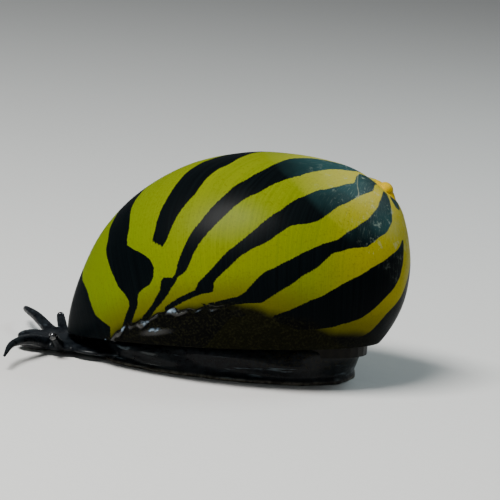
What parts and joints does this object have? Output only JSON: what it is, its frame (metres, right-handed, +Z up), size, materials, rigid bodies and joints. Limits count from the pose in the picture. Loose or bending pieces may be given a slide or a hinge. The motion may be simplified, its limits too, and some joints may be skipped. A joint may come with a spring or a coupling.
{
  "type": "nerite snail model",
  "caption": "Still, life-size model of a zebra-striped nerite snail crawling on its broad foot, with head, tentacles and eyes on short stalks under a low rounded shell",
  "frame": {"origin": "on the floor under the middle of the sole, on the sole's flat face", "axes": "+X along the body toward the tail, so the head points along -X; +Y toward the snail's right; +Z up"},
  "size_m": [0.0266, 0.0184, 0.0149],
  "materials": {
    "striped_shell": "olive-yellow shell with near-black zebra stripes, smooth and softly glossy",
    "apex": "worn orange nub of the first whorls",
    "callus": "dark brown glaze with a bluish-white shine on its raised edge",
    "operculum": "dark grey limy lid, wet",
    "flesh": "wet black skin with thin paler wrinkles and a grey-brown sole edge",
    "eye": "shiny black"
  },
  "bodies": {
    "root": {"columellar_deck": "callus", "eye_left": "eye", "eye_right": "eye", "eye_stalk_left": "flesh", "eye_stalk_right": "flesh", "foot": "flesh", "head": "flesh", "mantle_collar": "flesh", "operculum": "operculum", "shell_apex": "apex", "shell_body_whorl": "striped_shell", "shell_callus": "callus", "shell_spire": "striped_shell", "snout": "flesh", "tentacle_left_base": "flesh", "tentacle_left_middle": "flesh", "tentacle_left_tip": "flesh", "tentacle_right_base": "flesh", "tentacle_right_middle": "flesh", "tentacle_right_tip": "flesh"}
  },
  "joints": []
}
